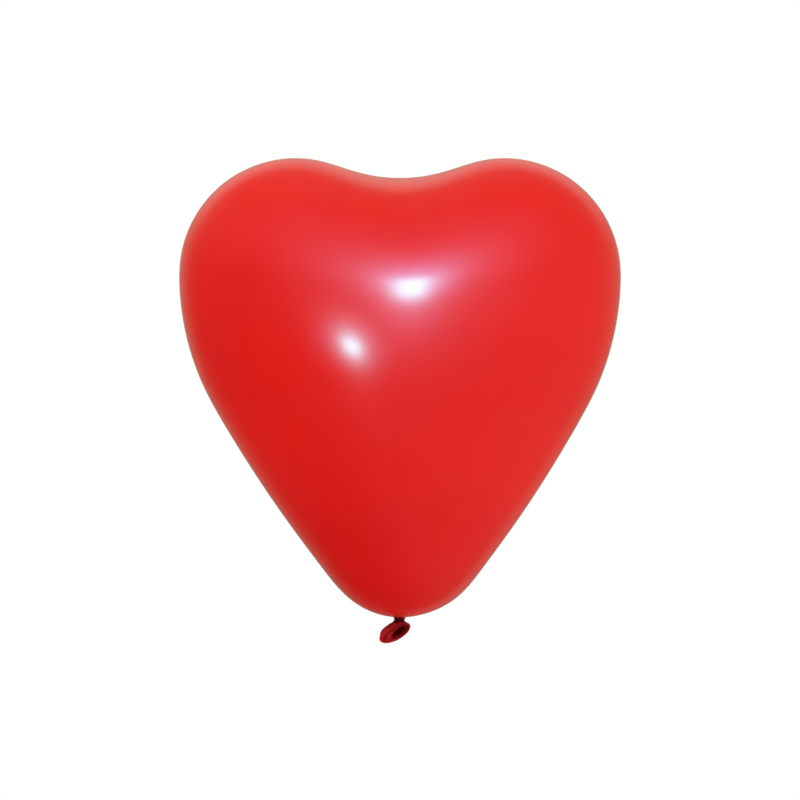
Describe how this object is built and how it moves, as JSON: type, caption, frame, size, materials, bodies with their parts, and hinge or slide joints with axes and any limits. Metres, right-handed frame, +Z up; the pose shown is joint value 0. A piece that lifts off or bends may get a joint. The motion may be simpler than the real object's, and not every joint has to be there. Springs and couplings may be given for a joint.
{
  "type": "heart-shaped latex balloon",
  "caption": "Blown-up heart-shaped red latex balloon, seamless, knotted at its tip, with a slack tail that ends in a flattened mouth with a rolled lip.",
  "frame": {"origin": "middle of the neck's waist, between the bulb's tip and the knot, where a ribbon ties", "axes": "+Z up along the neck and the heart's middle line towards the lobes, +X to the right seen from the front, -Y to the front"},
  "size_m": [0.289, 0.18, 0.317],
  "materials": {
    "stretched_latex": "gloss",
    "slack_latex": "satin"
  },
  "bodies": {
    "bulb": {"heart_bulb": "stretched_latex", "neck": "slack_latex"},
    "knot": {"overhand_knot": "slack_latex"},
    "tail": {"tail_skirt": "slack_latex", "rolled_lip": "slack_latex"}
  },
  "joints": [
    {"name": "neck_twist", "type": "hinge", "parent": "bulb", "child": "knot", "pos_m": [0, 0, -0.001], "axis": [0, 0, 1], "range_deg": [-90, 90], "stiffness_Nm_per_rad": 0.0004},
    {"name": "tail_swing", "type": "hinge", "parent": "knot", "child": "tail", "pos_m": [-0.00199, -0.00294, -0.00485], "axis": [0.8829, 0, 0.4695], "range_deg": [-20, 70], "stiffness_Nm_per_rad": 0.0002}
  ]
}
